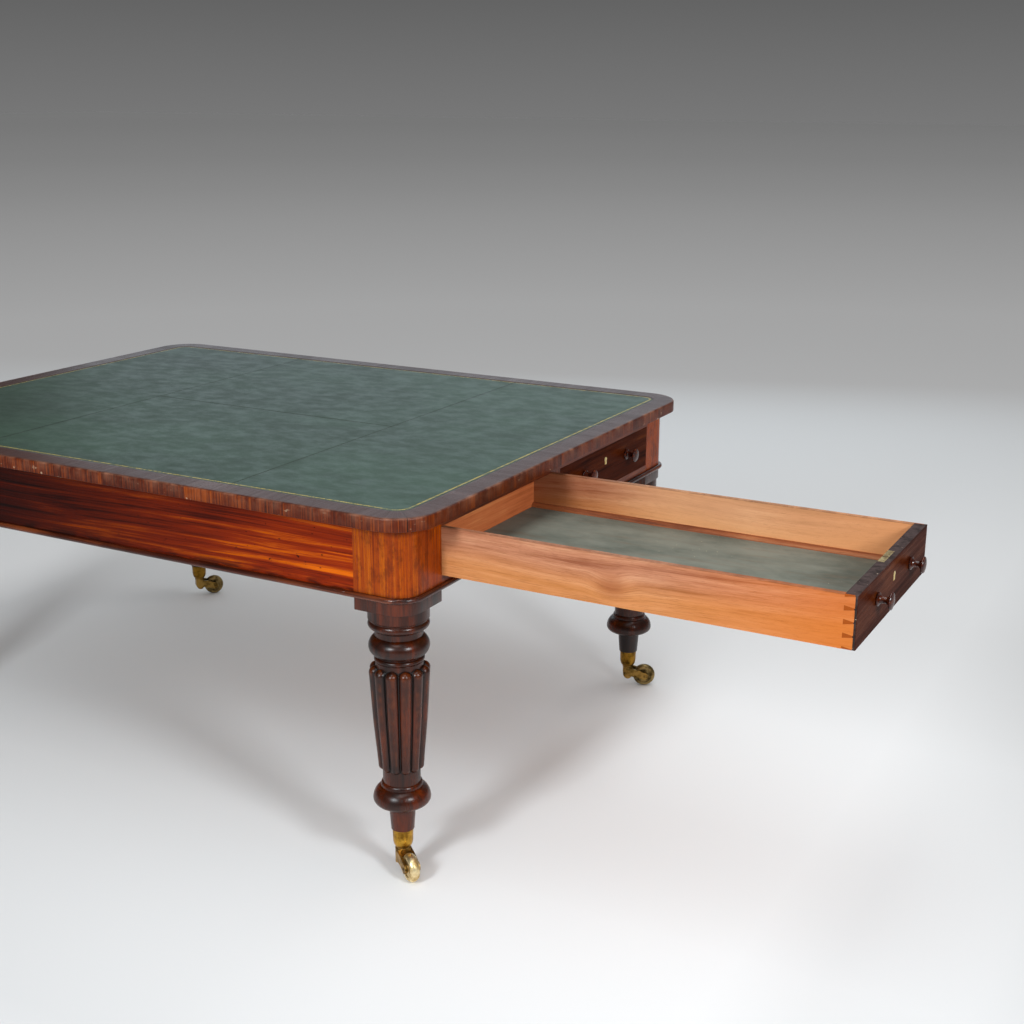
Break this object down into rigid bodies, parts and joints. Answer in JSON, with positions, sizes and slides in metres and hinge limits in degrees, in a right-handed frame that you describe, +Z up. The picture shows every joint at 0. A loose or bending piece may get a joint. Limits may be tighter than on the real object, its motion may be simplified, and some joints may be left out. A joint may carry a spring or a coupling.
{
  "type": "library table",
  "caption": "Rectangular library table with a leather-lined top, reeded turned legs on brass castors and deep drawers that slide from one end.",
  "frame": {"origin": "on the floor, under the middle of the space that the table takes up with its near drawer pulled out", "axes": "+Z up, +X along the table's length towards its drawer end, +Y across the table, away from the pulled-out drawer's side"},
  "size_m": [2.379, 1.246, 0.75],
  "materials": {
    "mahogany": "French-polished mahogany, glossy",
    "veneer": "French-polished flame mahogany veneer, glossy",
    "cedar": "waxed cedar-coloured mahogany, satin",
    "pine": "bare softwood, matte",
    "green_leather": "aged green skiver with gold tooling, satin",
    "lining": "worn grey-green drawer lining, matte",
    "brass": "aged lacquered brass, satin"
  },
  "bodies": {
    "table": {"top_panel": "pine", "top_border": "mahogany", "leather": "green_leather", "corner_blocks": "veneer", "near_side_rail": "veneer", "far_side_rail": "veneer", "plain_end_rail": "veneer", "drawer_top_rail": "mahogany", "drawer_bottom_rail": "mahogany", "drawer_divider": "mahogany", "frieze_bead": "mahogany", "lower_cross_rail": "pine", "upper_cross_rail": "pine", "outer_runners": "pine", "centre_runner": "pine", "drawer_guides": "pine", "drawer_kickers": "pine", "drawer_stops": "pine", "glue_blocks": "pine", "drawer_near_leg": "mahogany", "drawer_far_leg": "mahogany", "plain_near_leg": "mahogany", "plain_far_leg": "mahogany", "drawer_near_cup": "brass", "drawer_far_cup": "brass", "plain_near_cup": "brass", "plain_far_cup": "brass"},
    "near_drawer": {"near_drawer_front": "mahogany", "near_drawer_sides": "cedar", "near_drawer_back": "cedar", "near_drawer_bottom": "cedar", "near_drawer_slips": "cedar", "near_drawer_lining": "lining", "near_drawer_knobs": "mahogany", "near_drawer_escutcheon": "brass", "near_drawer_lock": "brass"},
    "near_lock_bolt": {"near_drawer_bolt": "brass"},
    "far_drawer": {"far_drawer_front": "mahogany", "far_drawer_sides": "cedar", "far_drawer_back": "cedar", "far_drawer_bottom": "cedar", "far_drawer_slips": "cedar", "far_drawer_lining": "lining", "far_drawer_knobs": "mahogany", "far_drawer_escutcheon": "brass", "far_drawer_lock": "brass"},
    "far_lock_bolt": {"far_drawer_bolt": "brass"},
    "drawer_near_castor": {"drawer_near_horn": "brass", "drawer_near_axle": "brass"},
    "drawer_near_castor_wheel": {"drawer_near_wheel": "brass"},
    "drawer_far_castor": {"drawer_far_horn": "brass", "drawer_far_axle": "brass"},
    "drawer_far_castor_wheel": {"drawer_far_wheel": "brass"},
    "plain_near_castor": {"plain_near_horn": "brass", "plain_near_axle": "brass"},
    "plain_near_castor_wheel": {"plain_near_wheel": "brass"},
    "plain_far_castor": {"plain_far_horn": "brass", "plain_far_axle": "brass"},
    "plain_far_castor_wheel": {"plain_far_wheel": "brass"}
  },
  "joints": [
    {"name": "near_drawer_slide", "type": "slide", "parent": "table", "child": "near_drawer", "axis": [1, 0, 0], "range_m": [-0.783, 0]},
    {"name": "near_lock_bolt_slide", "type": "slide", "parent": "near_drawer", "child": "near_lock_bolt", "axis": [0, 0, 1], "range_m": [0, 0.007]},
    {"name": "far_drawer_slide", "type": "slide", "parent": "table", "child": "far_drawer", "axis": [1, 0, 0], "range_m": [0, 0.783]},
    {"name": "far_lock_bolt_slide", "type": "slide", "parent": "far_drawer", "child": "far_lock_bolt", "axis": [0, 0, 1], "range_m": [0, 0.007]},
    {"name": "drawer_near_swivel", "type": "hinge", "parent": "table", "child": "drawer_near_castor", "pos_m": [0.3185, -0.531, 0.05], "axis": [0, 0, 1], "continuous": true},
    {"name": "drawer_near_roll", "type": "hinge", "parent": "drawer_near_castor", "child": "drawer_near_castor_wheel", "pos_m": [0.35204, -0.55628, 0.028], "axis": [0.6018, 0.7986, 0], "continuous": true},
    {"name": "drawer_far_swivel", "type": "hinge", "parent": "table", "child": "drawer_far_castor", "pos_m": [0.3185, 0.531, 0.05], "axis": [0, 0, 1], "continuous": true},
    {"name": "drawer_far_roll", "type": "hinge", "parent": "drawer_far_castor", "child": "drawer_far_castor_wheel", "pos_m": [0.35592, 0.55007, 0.028], "axis": [-0.454, 0.891, 0], "continuous": true},
    {"name": "plain_near_swivel", "type": "hinge", "parent": "table", "child": "plain_near_castor", "pos_m": [-1.0975, -0.531, 0.05], "axis": [0, 0, 1], "continuous": true},
    {"name": "plain_near_roll", "type": "hinge", "parent": "plain_near_castor", "child": "plain_near_castor_wheel", "pos_m": [-1.08663, -0.57157, 0.028], "axis": [0.9659, 0.2588, 0], "continuous": true},
    {"name": "plain_far_swivel", "type": "hinge", "parent": "table", "child": "plain_far_castor", "pos_m": [-1.0975, 0.531, 0.05], "axis": [0, 0, 1], "continuous": true},
    {"name": "plain_far_roll", "type": "hinge", "parent": "plain_far_castor", "child": "plain_far_castor_wheel", "pos_m": [-1.07107, 0.56364, 0.028], "axis": [-0.7771, 0.6293, 0], "continuous": true}
  ]
}
